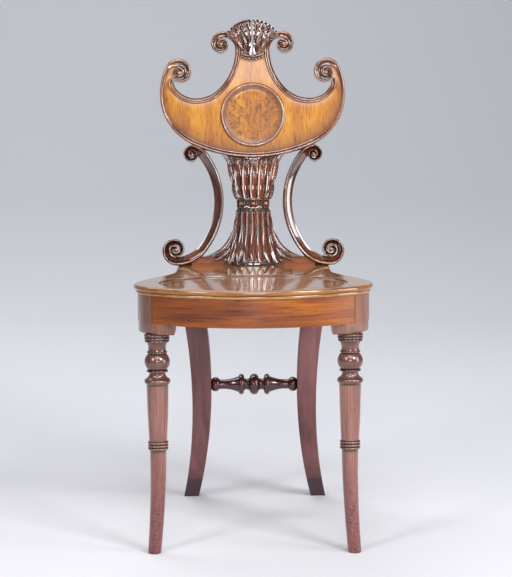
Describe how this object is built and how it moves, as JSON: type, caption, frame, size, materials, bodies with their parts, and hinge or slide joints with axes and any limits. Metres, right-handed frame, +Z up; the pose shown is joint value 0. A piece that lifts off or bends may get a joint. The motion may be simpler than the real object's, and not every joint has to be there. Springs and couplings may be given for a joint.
{
  "type": "hall chair",
  "caption": "Wooden hall chair with a dished oval seat, turned front legs, sabre back legs and a carved back of scrolls, a reeded splat and a shield-shaped panel.",
  "frame": {"origin": "on the floor, at the middle of the bounding box", "axes": "+X to the right as seen from the front, +Y to the back, +Z up"},
  "size_m": [0.398, 0.4699, 0.8881],
  "materials": {
    "seat": "polished mahogany",
    "frame": "polished mahogany",
    "front_legs": "polished mahogany, worn at the feet",
    "back_legs": "polished mahogany, dull",
    "stretcher": "polished dark mahogany",
    "panel": "polished golden mahogany",
    "burr": "polished burr veneer",
    "carving": "polished carved mahogany",
    "blocks": "plain oak",
    "screws": "oiled"
  },
  "bodies": {
    "root": {"seat_board": "seat", "front_rail": "frame", "left_side_rail": "frame", "right_side_rail": "frame", "back_rail": "frame", "left_front_leg": "front_legs", "right_front_leg": "front_legs", "left_back_leg": "back_legs", "right_back_leg": "back_legs", "back_stretcher": "stretcher", "back_panel": "panel", "roundel_ring": "carving", "roundel_disc": "burr", "crest_palmette": "carving", "left_c_scroll": "carving", "right_c_scroll": "carving", "reeded_splat": "carving", "back_shoe": "frame", "front_left_corner_block": "blocks", "front_right_corner_block": "blocks", "back_left_corner_block": "blocks", "back_right_corner_block": "blocks", "seat_screws": "screws", "splat_dowels": "blocks", "scroll_dowels": "blocks"}
  },
  "joints": []
}
